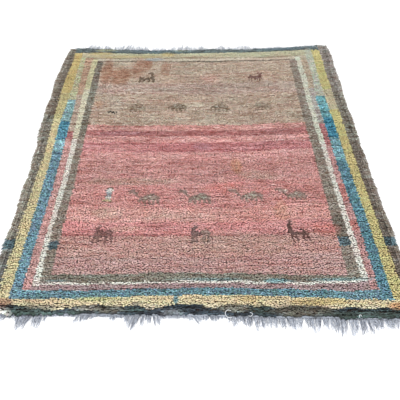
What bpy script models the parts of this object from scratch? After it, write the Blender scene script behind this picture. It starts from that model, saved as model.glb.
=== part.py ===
"""Hand-knotted gabbeh rug lying flat on a floor, with worn warp fringes at both ends.

Blender 4.5, metres, +Z up. The rug lies in the XY plane: its width runs along X, its length along Y, and
its near end, where the weaving began, is at -Y. The floor is at Z 0.

The rug is made of five pieces: the knotted pile, an overcast selvedge cord along each side, and at each end
a narrow flat-woven web with the loose warp ends that form the fringe.
"""

import math
import random

import bmesh
import bpy
from mathutils import Vector

# Driving dimensions of the whole rug
RUG_HALF_WIDTH = 0.612
RUG_LENGTH = 1.715
PILE_TOP = 0.013
GAP = 0.0003

# The sides wander: along is the share of the length from the near end, and left and right are how far
# each side lies out from the nominal half width there
SIDE_STATIONS = (
    # along, left, right
    (0.00, -0.012, -0.021),
    (0.40, -0.007, -0.014),
    (0.62, 0.011, -0.002),
    (0.82, 0.016, 0.009),
    (1.00, 0.004, 0.016),
)

# The ends aren't square: middle is how far an end's middle reaches out from the nominal half length, skew
# is how much further it reaches for each metre to the right, and bow is how much its corners spring out
# with the square of their distance from the middle
NEAR_END = {"middle": -0.009, "skew": 0.029, "bow": 0.018}
FAR_END = {"middle": -0.0125, "skew": 0.0196, "bow": 0.105}
END_WANDER = 0.0010

# Knotted pile
PILE_CELLS_ACROSS = 36
PILE_CELLS_ALONG = 52
PILE_LUMP = 0.0010
PILE_EDGE_BULGE = 0.0015
PILE_EDGE_ROUNDING = 0.0030

# The pile is thick and uneven where the near end was hand-finished: centre across the rug, half the
# lump's width, its height at the hem and how far it reaches into the rug
HEM_LUMPS = (
    # centre, half_width, height, reach
    (-0.470, 0.075, 0.0020, 0.10),
    (-0.300, 0.090, 0.0035, 0.14),
    (-0.090, 0.080, 0.0025, 0.10),
    (0.110, 0.085, 0.0035, 0.13),
    (0.300, 0.080, 0.0020, 0.11),
    (0.490, 0.070, 0.0030, 0.12),
)

# Overcast selvedge cord
SELVEDGE_WIDTH = 0.0085
SELVEDGE_HEIGHT = 0.0080
SELVEDGE_STATIONS = 48
SELVEDGE_SIDES = 8

# Flat-woven end web and its fringe of warp ends, gathered into locks
WEB_WIDTH = 0.008
WEB_THICKNESS = 0.0032
LOCKS_PER_END = 120
SHORTEST_LOCK = 0.009
LOCK_SECTIONS = (
    # share of the length, width, thickness
    (0.16, 0.0046, 0.0030),
    (0.58, 0.0034, 0.0024),
    (1.00, 0.0018, 0.0016),
)
LOCK_GATHER = 0.40
LOCK_CLEARANCE = 0.0012

# The fringe is worn: across is the share of the width from the left side, length is the locks' length
# there, and lean is how far they lie over to the right for each metre they reach out
NEAR_FRINGE = (
    # across, length, lean
    (0.000, 0.026, -0.20),
    (0.050, 0.034, -0.20),
    (0.070, 0.043, -0.24),
    (0.130, 0.040, -0.20),
    (0.145, 0.006, -0.20),
    (0.200, 0.006, -0.30),
    (0.215, 0.024, -0.34),
    (0.245, 0.020, -0.30),
    (0.260, 0.006, 0.10),
    (0.290, 0.026, 0.22),
    (0.310, 0.008, 0.00),
    (0.335, 0.038, -0.34),
    (0.370, 0.042, -0.24),
    (0.385, 0.041, 0.10),
    (0.400, 0.038, 0.24),
    (0.420, 0.014, 0.26),
    (0.480, 0.031, 0.30),
    (0.500, 0.012, 0.10),
    (0.530, 0.018, -0.10),
    (0.555, 0.007, 0.00),
    (0.575, 0.034, 0.12),
    (0.592, 0.014, 0.08),
    (0.620, 0.042, 0.04),
    (0.640, 0.030, -0.08),
    (0.690, 0.027, 0.00),
    (0.740, 0.032, 0.10),
    (0.780, 0.035, 0.12),
    (0.800, 0.042, 0.15),
    (0.935, 0.044, 0.20),
    (0.960, 0.026, 0.18),
    (1.000, 0.022, 0.10),
)
FAR_FRINGE = (
    # across, length, lean
    (0.000, 0.030, 0.00),
    (0.030, 0.036, 0.10),
    (0.060, 0.072, 0.12),
    (0.130, 0.078, -0.04),
    (0.155, 0.050, -0.10),
    (0.190, 0.080, 0.06),
    (0.280, 0.074, -0.06),
    (0.310, 0.048, 0.00),
    (0.385, 0.050, 0.00),
    (0.410, 0.084, 0.06),
    (0.440, 0.074, 0.02),
    (0.480, 0.066, -0.04),
    (0.520, 0.074, -0.10),
    (0.540, 0.034, 0.00),
    (0.560, 0.060, 0.06),
    (0.600, 0.074, -0.04),
    (0.630, 0.044, 0.00),
    (0.675, 0.076, 0.08),
    (0.695, 0.066, -0.06),
    (0.740, 0.036, 0.00),
    (0.790, 0.042, 0.06),
    (0.850, 0.028, 0.00),
    (0.930, 0.030, -0.06),
    (1.000, 0.022, 0.00),
)


def interpolated(table, at, column):
    """Reads a column of a table whose first column rises, with a smooth step between rows."""
    rows = list(zip(table, table[1:]))
    low, high = next((pair for pair in rows if at <= pair[1][0]), rows[-1])
    share = min(max((at - low[0]) / (high[0] - low[0]), 0.0), 1.0)
    smooth = share * share * (3 - 2 * share)
    return low[column] + smooth * (high[column] - low[column])


def side_at(y, side):
    """X of the rug's outer edge at this Y, for side -1 on the left and 1 on the right."""
    along = min(max(y / RUG_LENGTH + 0.5, 0.0), 1.0)
    column = 1 if side < 0 else 2
    return side * (RUG_HALF_WIDTH + interpolated(SIDE_STATIONS, along, column))


def end_at(x, end):
    """Y of the end web's outer edge at this X, for end -1 at the near end and 1 at the far end."""
    shape = NEAR_END if end < 0 else FAR_END
    reach = RUG_LENGTH / 2 + shape["middle"] + shape["skew"] * x + shape["bow"] * x * x
    wander = END_WANDER * (math.sin(14.9 * x + end) + 0.6 * math.sin(28.3 * x - 2 * end))
    return end * (reach + wander)


def lump(x, y):
    """The pile's gentle unevenness, from how it was clipped and trodden, and its lumps at the hem."""
    broad = math.sin(11 * x + 1.3) * math.sin(8.3 * y + 0.4)
    middling = math.sin(27 * x - 5 * y) * math.cos(23 * y + 2.1)
    fine = math.sin(47 * x + 31 * y + 0.9) * math.sin(52 * y - 13 * x)
    height = PILE_LUMP * (broad + 0.7 * middling + 0.5 * fine)
    inward = y - end_at(x, -1)
    for centre, half_width, hem_height, reach in HEM_LUMPS:
        off = abs(x - centre) / half_width
        if off < 1 and inward < reach:
            height += hem_height * math.cos(off * math.pi / 2) ** 2 * (1 - inward / reach) ** 2
    return height


def wool(name, colour, roughness):
    """A plain wool material."""
    material = bpy.data.materials.new(name)
    material.use_nodes = True
    shader = material.node_tree.nodes["Principled BSDF"]
    shader.inputs["Base Color"].default_value = (*colour, 1.0)
    shader.inputs["Roughness"].default_value = roughness
    shader.inputs["Metallic"].default_value = 0.0
    return material


def piece(name, mesh_maker, material, frame):
    """Adds one piece of the rug, whose mesh_maker fills a bmesh."""
    bm = bmesh.new()
    mesh_maker(bm)
    bmesh.ops.recalc_face_normals(bm, faces=bm.faces)
    mesh = bpy.data.meshes.new(name)
    bm.to_mesh(mesh)
    bm.free()
    mesh.shade_smooth()
    mesh.set_sharp_from_angle(angle=math.radians(40))
    mesh.materials.append(material)
    obj = bpy.data.objects.new(name, mesh)
    bpy.context.collection.objects.link(obj)
    obj.parent = frame
    return obj


def pile_plan(u, v):
    """The pile's plan position for u across and v along, both from -1 to 1."""
    inset = SELVEDGE_WIDTH + GAP + PILE_EDGE_BULGE
    end_inset = WEB_WIDTH + GAP + PILE_EDGE_BULGE
    x = u * (RUG_HALF_WIDTH - inset)
    # The sides and the ends each depend on the other, and settle in a few passes
    for _ in range(4):
        near = end_at(x, -1) + end_inset
        far = end_at(x, 1) - end_inset
        y = near + (far - near) * (v + 1) / 2
        left = side_at(y, -1) + inset
        right = side_at(y, 1) - inset
        x = left + (right - left) * (u + 1) / 2
    return x, y


def knotted_pile(bm):
    """One lumpy slab: a flat sheet laid out on the floor, raised to the pile's height, with a soft edge."""
    bmesh.ops.create_grid(bm, x_segments=PILE_CELLS_ACROSS, y_segments=PILE_CELLS_ALONG, size=1.0)
    for vert in bm.verts:
        vert.co = Vector((*pile_plan(vert.co.x, vert.co.y), 0.0))
    outward = outward_directions([edge for edge in bm.edges if edge.is_boundary])

    underside = bm.faces[:]
    raised = bmesh.ops.extrude_face_region(bm, geom=underside, use_keep_orig=True)["geom"]
    tops = [item for item in raised if isinstance(item, bmesh.types.BMVert)]
    for vert in tops:
        vert.co.z = PILE_TOP + lump(vert.co.x, vert.co.y)

    # The pile's edge is a soft bulge: its top rim is drawn in and its middle pushed out
    walls = [edge for edge in bm.edges if is_wall(edge)]
    for edge in walls:
        lower, upper = sorted(edge.verts, key=lambda vert: vert.co.z)
        upper.co -= outward[lower.index] * PILE_EDGE_ROUNDING
        upper.co.z -= PILE_EDGE_ROUNDING / 2
    split = bmesh.ops.subdivide_edges(bm, edges=walls, cuts=1)["geom_inner"]
    for vert in (item for item in split if isinstance(item, bmesh.types.BMVert)):
        lowest = min((edge.other_vert(vert) for edge in vert.link_edges), key=lambda other: other.co.z)
        bulge = lowest.co + outward[lowest.index] * PILE_EDGE_BULGE
        vert.co.xy = bulge.xy

    # The underside is one flat face
    bmesh.ops.dissolve_faces(bm, faces=underside, use_verts=True)


def outward_directions(rim):
    """The level direction out of the sheet at each of its rim's vertices, by vertex index."""
    directions = {}
    for edge in rim:
        middle = (edge.verts[0].co + edge.verts[1].co) / 2
        inner = edge.link_faces[0].calc_center_median()
        along = edge.verts[1].co - edge.verts[0].co
        way = Vector((along.y, -along.x, 0.0)).normalized()
        if way.dot(middle - inner) < 0:
            way.negate()
        for vert in edge.verts:
            directions.setdefault(vert.index, Vector()).__iadd__(way)
    return {index: way.normalized() for index, way in directions.items()}


def is_wall(edge):
    """Whether this edge stands up at the slab's rim."""
    low, high = sorted(vert.co.z for vert in edge.verts)
    level = (edge.verts[0].co - edge.verts[1].co).to_2d().length
    return high - low > PILE_TOP / 2 and level < GAP


def selvedge(side):
    """The maker of one side's overcast cord: an oval tube that follows the rug's edge."""

    def maker(bm):
        near = end_at(side_at(-RUG_LENGTH / 2, side), -1)
        far = end_at(side_at(RUG_LENGTH / 2, side), 1)
        flattest = math.sin(math.tau * (SELVEDGE_SIDES / 4 - 0.5) / SELVEDGE_SIDES)
        section = [
            (
                SELVEDGE_WIDTH / 2 * math.cos(math.tau * (corner + 0.5) / SELVEDGE_SIDES) / flattest,
                SELVEDGE_HEIGHT / 2 * (1 + math.sin(math.tau * (corner + 0.5) / SELVEDGE_SIDES) / flattest),
            )
            for corner in range(SELVEDGE_SIDES)
        ]
        ring = None
        for station in range(SELVEDGE_STATIONS + 1):
            y = near + (far - near) * station / SELVEDGE_STATIONS
            middle = side_at(y, side) - side * SELVEDGE_WIDTH / 2
            verts = [bm.verts.new((middle + out, y, height)) for out, height in section]
            edges = [bm.edges.new((verts[i - 1], verts[i])) for i in range(SELVEDGE_SIDES)]
            if ring is None:
                bm.faces.new(verts)
            else:
                bmesh.ops.bridge_loops(bm, edges=ring + edges)
            ring = edges
        bm.faces.new(verts)

    return maker


def lock_paths(table, seed):
    """For each lock of one end: its length, and how far across the rug its tip lies from its root."""
    draw = random.Random(seed)
    pitch = 2 * RUG_HALF_WIDTH / LOCKS_PER_END
    narrowest = LOCK_SECTIONS[0][1] + LOCK_CLEARANCE - pitch
    paths = []
    while len(paths) < LOCKS_PER_END:
        count = min(draw.randint(2, 5), LOCKS_PER_END - len(paths))
        middle = len(paths) + (count - 1) / 2
        for index in range(len(paths), len(paths) + count):
            across = (index + 0.5) / LOCKS_PER_END
            length = interpolated(table, across, 1) * draw.uniform(0.80, 1.05)
            lean = interpolated(table, across, 2) + draw.uniform(-0.04, 0.04)
            drift = lean * length + (middle - index) * pitch * LOCK_GATHER * min(length / 0.04, 1.0)
            if paths:
                drift = max(drift, paths[-1][1] + narrowest)
            paths.append((length, drift))
    return paths


def fringed_web(end, table):
    """The maker of one end's flat-woven web, with its locks of warp ends drawn out of its outer face."""

    def maker(bm):
        bmesh.ops.create_grid(bm, x_segments=LOCKS_PER_END, y_segments=1, size=1.0)
        for vert in bm.verts:
            inner_edge = vert.co.y * end < 0
            hem = end_at(vert.co.x * RUG_HALF_WIDTH, end)
            left = side_at(hem, -1) + SELVEDGE_WIDTH + GAP
            right = side_at(hem, 1) - SELVEDGE_WIDTH - GAP
            x = left + (right - left) * (vert.co.x + 1) / 2
            vert.co = Vector((x, end_at(x, end) - (end * WEB_WIDTH if inner_edge else 0.0), 0.0))
        raised = bmesh.ops.extrude_face_region(bm, geom=bm.faces[:], use_keep_orig=True)["geom"]
        tops = [item for item in raised if isinstance(item, bmesh.types.BMVert)]
        bmesh.ops.translate(bm, verts=tops, vec=(0.0, 0.0, WEB_THICKNESS))
        bmesh.ops.recalc_face_normals(bm, faces=bm.faces)

        outer = [face for face in bm.faces if face.normal.y * end > 0.9]
        outer.sort(key=lambda face: face.calc_center_median().x)
        for face, (length, drift) in zip(outer, lock_paths(table, 20 + end)):
            root = face.calc_center_median()
            for share, width, thickness in LOCK_SECTIONS if length > SHORTEST_LOCK else ():
                face = bmesh.ops.extrude_discrete_faces(bm, faces=[face])["faces"][0]
                reach = root + Vector((drift * share, end * length * share, 0.0))
                place_lock_end(face, reach, width, thickness)

    return maker


def place_lock_end(face, centre, width, thickness):
    """Moves a lock's end face to its place, as wide and thick as given, resting level on the floor."""
    middle = face.calc_center_median()
    for vert in face.verts:
        side = 1 if vert.co.x > middle.x else -1
        top = vert.co.z > middle.z
        vert.co = Vector((centre.x + side * width / 2, centre.y, thickness if top else 0.0))


def centre_on_floor(frame, pieces):
    """Puts the origin under the middle of the rug's box, on the floor."""
    bpy.context.view_layer.update()
    corners = [obj.matrix_world @ Vector(corner) for obj in pieces for corner in obj.bound_box]
    for axis in (0, 1):
        low = min(corner[axis] for corner in corners)
        high = max(corner[axis] for corner in corners)
        frame.location[axis] = -(low + high) / 2


for old in list(bpy.data.objects):
    bpy.data.objects.remove(old)

rug_frame = bpy.data.objects.new("rug_frame", None)
bpy.context.collection.objects.link(rug_frame)

pile_wool = wool("pile_wool", (0.50, 0.27, 0.22), 0.95)
selvedge_wool = wool("selvedge_wool", (0.16, 0.13, 0.10), 0.95)
warp_wool = wool("warp_wool", (0.55, 0.57, 0.62), 0.90)

rug = [
    piece("knotted_pile", knotted_pile, pile_wool, rug_frame),
    piece("selvedge_left", selvedge(-1), selvedge_wool, rug_frame),
    piece("selvedge_right", selvedge(1), selvedge_wool, rug_frame),
    piece("fringe_near", fringed_web(-1, NEAR_FRINGE), warp_wool, rug_frame),
    piece("fringe_far", fringed_web(1, FAR_FRINGE), warp_wool, rug_frame),
]
centre_on_floor(rug_frame, rug)
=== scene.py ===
"""Looks of the hand-knotted gabbeh rug: shaggy knotted pile, overcast selvedges and worn warp fringes."""

import math
import random

import bmesh
import bpy
import numpy as np
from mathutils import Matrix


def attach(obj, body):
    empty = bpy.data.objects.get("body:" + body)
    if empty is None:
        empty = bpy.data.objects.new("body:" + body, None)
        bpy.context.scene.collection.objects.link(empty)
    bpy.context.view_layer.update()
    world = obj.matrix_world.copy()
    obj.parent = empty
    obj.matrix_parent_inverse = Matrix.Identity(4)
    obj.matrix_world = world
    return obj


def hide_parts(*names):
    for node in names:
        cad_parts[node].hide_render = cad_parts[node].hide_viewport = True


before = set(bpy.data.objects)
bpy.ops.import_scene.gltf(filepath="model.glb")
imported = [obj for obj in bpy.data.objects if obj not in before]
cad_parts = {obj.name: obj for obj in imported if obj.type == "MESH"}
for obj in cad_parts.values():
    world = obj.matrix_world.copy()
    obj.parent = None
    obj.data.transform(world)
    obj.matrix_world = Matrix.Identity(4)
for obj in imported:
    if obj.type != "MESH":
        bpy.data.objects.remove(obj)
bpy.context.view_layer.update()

# The camera stands at a person's height past the near end and looks down along the rug.
camera = bpy.data.objects.new("camera", bpy.data.cameras.new("camera"))
bpy.context.scene.collection.objects.link(camera)
camera.location = (-0.0242, -2.0261, 1.2962)
camera.rotation_euler = (math.radians(90 - 37.611), 0.0, math.radians(-0.6553))
camera.data.lens = 56.82
camera.data.sensor_width = 36.0
bpy.context.scene.camera = camera


# ---- Knotted pile ----
# Rows of wool knots tied on the warps of a woven ground, each one a soft tuft about 13 mm high that leans
# towards the end where the weaving began. The wool is dyed in small batches, so every band drifts in
# colour, and the stripes, the animals and the small figures are tied knot by knot.

RUG_HALF_WIDTH = 0.612
RUG_LENGTH = 1.715
PILE_TOP = 0.013
GAP = 0.0003
DRAWING_SHIFT = 0.0138  # the solids are drawn this much further from the near end than they lie
SIDE_STATIONS = (
    # along, left, right
    (0.00, -0.012, -0.021),
    (0.40, -0.007, -0.014),
    (0.62, 0.011, -0.002),
    (0.82, 0.016, 0.009),
    (1.00, 0.004, 0.016),
)
NEAR_END = {"middle": -0.009, "skew": 0.029, "bow": 0.018}
FAR_END = {"middle": -0.0125, "skew": 0.0196, "bow": 0.105}
END_WANDER = 0.0010
PILE_LUMP = 0.0010
PILE_EDGE_BULGE = 0.0015
HEM_LUMPS = (
    # centre, half_width, height, reach
    (-0.47, 0.075, 0.002, 0.1),
    (-0.3, 0.09, 0.0035, 0.14),
    (-0.09, 0.08, 0.0025, 0.1),
    (0.11, 0.085, 0.0035, 0.13),
    (0.3, 0.08, 0.002, 0.11),
    (0.49, 0.07, 0.003, 0.12),
)
SELVEDGE_WIDTH = 0.0085
SELVEDGE_HEIGHT = 0.0080
WEB_WIDTH = 0.008
WEB_THICKNESS = 0.0032

KNOT_COLUMNS = 236
KNOT_ROWS = 308
PILE_STRIPS = 5
GROUND_TOP = 0.0038
TUFT_ROOT = 0.0030
FLOOR_CLEARANCE = 0.0008
TUFT_WIDTH = 0.0104
TUFT_DEPTH = 0.0068
TUFT_LEAN = 0.0058
TIP_SHARE = 0.8  # how much of a tuft's lean its visible part has
# The outermost tufts flop over the selvedges and the end webs, by this much for so many tufts inwards
SIDE_RIM = 5
SIDE_FLOP_LEFT = 0.0228
SIDE_FLOP_RIGHT = 0.0185
SIDE_DROOP = 0.0055
NEAR_RIM = 5
NEAR_FLOP_MIDDLE = 0.0030
NEAR_FLOP_CORNER = 0.0070
NEAR_DROOP = 0.0070
FAR_RIM = 4
FAR_FLOP = 0.0170
# How much the knots differ in tone and in hue, for each stripe from the edge inwards and then the field
TONE_SPREAD = (0.12, 0.03, 0.19, 0.06, 0.02, 0.12, 0.04)
HUE_SPREAD = (0.03, 0.03, 0.07, 0.03, 0.02, 0.03, 0.03)
# How much lighter and greyer the wool is than it looks once the tufts shade and light one another
WOOL_DEPTH = 1.46
WOOL_GREYING = 0.09
# Painted shade on the outer tufts: their colour is darkened because they lie open to the light
PAINTED_SHADE_ON_OUTER_TUFTS = 0.32  # the outer tufts lie open to the light
# How far lighter or darker knots go in red, green and blue, on a scale of even steps for the eye
TONE_STEP = (0.30, 0.37, 0.39)
TONE_LIMITS = (0.09, 0.98)
EYE_GAMMA = 2.2
PALE_CALM = 0.45  # pale and yellow wool shows less of its streaks
YELLOW_CALM = 0.25
HUE_DRIFT = 0.09


def interpolated(table, at, column):
    """Reads a column of a table whose first column rises, with a smooth step between rows."""
    stops = np.array([row[0] for row in table])
    values = np.array([row[column] for row in table])
    at = np.clip(at, stops[0], stops[-1])
    low = np.clip(np.searchsorted(stops, at, side="right") - 1, 0, len(stops) - 2)
    share = (at - stops[low]) / (stops[low + 1] - stops[low])
    smooth = share * share * (3 - 2 * share)
    return values[low] + smooth * (values[low + 1] - values[low])


def side_at(y, side):
    """X of the rug's outer edge at this Y of the drawing, for side -1 on the left and 1 on the right."""
    along = np.clip(y / RUG_LENGTH + 0.5, 0.0, 1.0)
    return side * (RUG_HALF_WIDTH + interpolated(SIDE_STATIONS, along, 1 if side < 0 else 2))


def end_at(x, end):
    """Y in the drawing of the end web's outer edge at this X, for end -1 near and 1 far."""
    shape = NEAR_END if end < 0 else FAR_END
    reach = RUG_LENGTH / 2 + shape["middle"] + shape["skew"] * x + shape["bow"] * x * x
    return end * (reach + END_WANDER * (np.sin(14.9 * x + end) + 0.6 * np.sin(28.3 * x - 2 * end)))


def pile_plan(u, v, margin=0.0):
    """The drawing's plan position for u across and v along the pile, both from -1 to 1."""
    inset = SELVEDGE_WIDTH + GAP + PILE_EDGE_BULGE - margin
    end_inset = WEB_WIDTH + GAP + PILE_EDGE_BULGE - margin
    x = u * (RUG_HALF_WIDTH - inset)
    for _ in range(4):
        near = end_at(x, -1) + end_inset
        far = end_at(x, 1) - end_inset
        y = near + (far - near) * (v + 1) / 2
        left = side_at(y, -1) + inset
        right = side_at(y, 1) - inset
        x = left + (right - left) * (u + 1) / 2
    return x, y


def lump(x, y):
    """How far the pile stands above or below its usual height at this place of the drawing."""
    height = PILE_LUMP * (
        np.sin(11 * x + 1.3) * np.sin(8.3 * y + 0.4)
        + 0.7 * np.sin(27 * x - 5 * y) * np.cos(23 * y + 2.1)
        + 0.5 * np.sin(47 * x + 31 * y + 0.9) * np.sin(52 * y - 13 * x)
    )
    inward = y - end_at(x, -1)
    for centre, half_width, hem_height, reach in HEM_LUMPS:
        off = np.minimum(np.abs(x - centre) / half_width, 1.0)
        share = np.clip(1 - inward / reach, 0.0, 1.0)
        height = height + hem_height * np.cos(off * math.pi / 2) ** 2 * share**2
    return height


# The dyer's skeins
DYES = {
    "dark umber": (0.17, 0.14, 0.11), "umber": (0.19, 0.16, 0.12), "light umber": (0.21, 0.19, 0.15),
    "slate umber": (0.17, 0.17, 0.15), "grey umber": (0.27, 0.24, 0.21), "walnut": (0.22, 0.2, 0.16),
    "brown": (0.26, 0.22, 0.18), "shag brown": (0.09, 0.09, 0.07), "ink teal": (0.06, 0.11, 0.13),
    "dull teal": (0.1, 0.15, 0.17), "bottle green": (0.03, 0.05, 0.04), "night": (0.02, 0.03, 0.04),
    "far slate": (0.1, 0.13, 0.13), "far blue": (0.07, 0.12, 0.15), "gold": (0.46, 0.37, 0.16),
    "old gold": (0.45, 0.4, 0.21), "straw": (0.52, 0.46, 0.27), "pale straw": (0.54, 0.47, 0.3),
    "green straw": (0.47, 0.42, 0.19), "tan straw": (0.44, 0.39, 0.27), "far yellow": (0.42, 0.4, 0.28),
    "pale sand": (0.41, 0.39, 0.26), "pale green": (0.42, 0.43, 0.36), "pale sage": (0.34, 0.31, 0.25),
    "moss": (0.4, 0.4, 0.19), "pale turquoise": (0.22, 0.35, 0.36), "turquoise": (0.14, 0.33, 0.36),
    "mid turquoise": (0.17, 0.34, 0.38), "light turquoise": (0.22, 0.4, 0.44),
    "deep blue": (0.08, 0.24, 0.32), "strong blue": (0.05, 0.23, 0.32), "steel blue": (0.15, 0.27, 0.33),
    "near blue": (0.13, 0.24, 0.28), "indigo": (0.1, 0.23, 0.28), "mist blue": (0.37, 0.4, 0.4),
    "slate blue": (0.25, 0.29, 0.31), "undyed white": (0.56, 0.54, 0.49),
    "greenish white": (0.5, 0.5, 0.42), "cream white": (0.52, 0.49, 0.38), "cream": (0.45, 0.42, 0.27),
    "far cream": (0.48, 0.42, 0.34), "blush cream": (0.5, 0.43, 0.32), "rose": (0.49, 0.29, 0.27),
    "dusky rose": (0.43, 0.25, 0.24), "red rose": (0.44, 0.19, 0.17), "deep rose": (0.38, 0.16, 0.16),
    "near pink": (0.33, 0.23, 0.23), "greyish pink": (0.4, 0.31, 0.25), "terracotta": (0.4, 0.27, 0.19),
    "tan": (0.4, 0.33, 0.25), "pinkish taupe": (0.36, 0.33, 0.3), "camel": (0.4, 0.32, 0.25),
    "taupe": (0.41, 0.32, 0.25), "mauve taupe": (0.4, 0.31, 0.26), "far taupe": (0.33, 0.28, 0.2),
    "rust": (0.3, 0.16, 0.1), "orange": (0.48, 0.25, 0.11), "violet": (0.33, 0.17, 0.2),
    "blush": (0.52, 0.28, 0.25), "peach": (0.54, 0.29, 0.27), "light rose": (0.55, 0.3, 0.27),
    "strong rose": (0.53, 0.25, 0.24), "warm rose": (0.5, 0.25, 0.23), "brown rose": (0.48, 0.25, 0.23),
    "carmine": (0.45, 0.19, 0.19), "madder": (0.38, 0.16, 0.15), "bright madder": (0.52, 0.19, 0.16),
    "dusk": (0.46, 0.27, 0.24), "dusk brown": (0.43, 0.27, 0.25), "goat brown": (0.14, 0.07, 0.06),
    "goat grey": (0.15, 0.1, 0.09), "faded brown": (0.13, 0.09, 0.06), "black brown": (0.05, 0.04, 0.03),
    "olive grey": (0.25, 0.18, 0.15), "faint olive": (0.2, 0.15, 0.1),
}

# The stripes are numbered from the rug's edge inwards, from 0 for the brown one to 6 for the field. For a Y
# on a side, or an X at an end, these are the places where stripes 1 to 6 start, in centimetres.
YELLOW, BLUE, WHITE, FIELD = 1, 2, 4, 6
LEFT_STRIPES = (
    # y, yellow, blue, pink, white, inner brown, field
    (-72, -57.2, -54.2, -51.2, -48.7, -46.8, -44), (-47, -57.4, -54.4, -51, -48.5, -47, -44),
    (-27, -57.4, -54.5, -50.8, -48.4, -46.5, -43.7), (-7, -57.5, -54.8, -51.1, -48.5, -46.6, -44.1),
    (13, -58.3, -55.5, -51.4, -49.1, -46.8, -44.2), (33, -59, -55, -51.8, -49.4, -47.1, -44.2),
    (53, -59.1, -55.2, -52.5, -49.7, -47.3, -44.2), (73, -58.4, -55, -52.9, -49.4, -47, -44.4),
)
RIGHT_STRIPES = (
    (-72, 56, 52.8, 49.5, 47.4, 45.5, 42), (-47, 56, 53, 49.6, 47.2, 45.4, 41.7),
    (-27, 56.1, 53, 49.1, 47, 45.4, 41.7), (-7, 56.4, 53, 49.2, 47.2, 45.4, 41.8),
    (13, 56.7, 53.2, 49.4, 47.1, 45, 41.6), (33, 57, 53.1, 49.1, 47.1, 45, 41.8),
    (53, 57.3, 53.4, 50.6, 48, 45.7, 42.1), (73, 58, 54.1, 50.8, 47.8, 45.6, 42.5),
)
NEAR_STRIPES = (
    # x, yellow, blue, pink, white, inner brown, field
    (-49, -83.4, -80.2, -77.1, -75.1, -73.9, -70.9), (-31, -83.8, -80.2, -77.1, -74.9, -74.2, -70.9),
    (-11, -83.6, -79.2, -76.4, -74.6, -73.7, -70.2), (9, -83.2, -79.5, -76.6, -74.8, -73.7, -70.9),
    (29, -83.7, -80.5, -77.6, -75.5, -74.4, -71.7), (47, -84.3, -81.7, -78.2, -74.9, -73.7, -71.9),
)
# X and Y along the wavy edge between the near end's dark and yellow bands
HEM_LINE = (
    (-62, -82), (-53, -82.3), (-49, -83.2), (-45, -84.2), (-40, -84.4), (-37, -83.9),
    (-34, -83.1), (-28, -82.8), (-24, -83.6), (-20, -82.9), (-14, -84.1), (-8, -82.9),
    (-1, -82.8), (2.5, -84.3), (6, -83.4), (12, -83.2), (14, -84), (17, -83.6),
    (20, -84.4), (26, -83.7), (31, -83.8), (36, -85), (40, -84.2), (46, -85.1),
    (49, -84.7), (59, -84.8),
)
FAR_STRIPES = (
    # x, yellow, taupe, taupe, cream, brown, field
    (-49, 79.7, 74.4, 74.4, 72.9, 71.1, 70.1), (-31, 78.8, 74.4, 74.4, 73.1, 71.1, 69.9),
    (-11, 78.5, 74.4, 74.4, 73.1, 70.4, 69.1), (9, 79, 74.7, 74.7, 73.1, 70.6, 69.1),
    (29, 80.1, 75.1, 75.1, 73.6, 71.3, 70.4), (49, 81.9, 76.6, 76.6, 74.8, 72.4, 71.1),
)

# The skeins of each stripe, from the rug's edge inwards: each skein is tied from its Y upwards
LEFT_SKEINS = (
    ((-95, "slate umber"), (-59, "ink teal"), (-55, "light umber"), (20, "umber")),
    ((-95, "straw"), (18, "old gold"), (40, "gold")),
    (
        *((-95, "steel blue"), (-6, "light turquoise"), (2, "deep blue"), (16, "pale turquoise")),
        (34, "pale sand"),
    ),
    ((-95, "rose"), (3, "deep rose"), (8, "greyish pink"), (38, "terracotta")),
    ((-95, "undyed white"), (3, "cream white"), (43, "cream")),
    ((-95, "brown"), (-60, "dull teal"), (-56, "brown"), (5, "light umber"), (48, "dark umber")),
)
RIGHT_SKEINS = (
    ((-95, "dark umber"), (-59, "ink teal"), (-55, "dark umber"), (0, "light umber"), (40, "grey umber")),
    ((-95, "green straw"), (24, "tan straw"), (42, "green straw")),
    ((-95, "indigo"), (-12, "mid turquoise"), (3, "strong blue"), (18, "turquoise"), (36, "pale green")),
    (
        *((-95, "dusky rose"), (-52, "red rose"), (-47, "dusky rose"), (-37, "red rose")),
        *((-27, "dusky rose"), (-2, "deep rose"), (13, "pinkish taupe"), (43, "tan")),
    ),
    ((-95, "undyed white"), (0, "greenish white")),
    ((-95, "brown"), (-59, "dull teal"), (-55, "dark umber"), (-44, "brown")),
)
NEAR_SKEINS = ("night", "pale straw", "near blue", "near pink", "undyed white", "walnut")
FAR_SKEINS = ("far slate", "far yellow", "far taupe", "far taupe", "far cream", "umber")
FIELD_SKEINS = (
    # from this Y upwards
    (-95, "dusk brown"), (-64, "dusk"), (-54.3, "madder"), (-53.6, "strong rose"),
    (-47.6, "light rose"), (-40, "warm rose"), (-26, "brown rose"), (-12.4, "peach"),
    (-6.7, "carmine"), (-0.6, "peach"), (4.2, "madder"), (8.3, "blush"),
    (12.4, "taupe"), (38, "mauve taupe"), (48, "taupe"), (58, "camel"),
)

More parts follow.
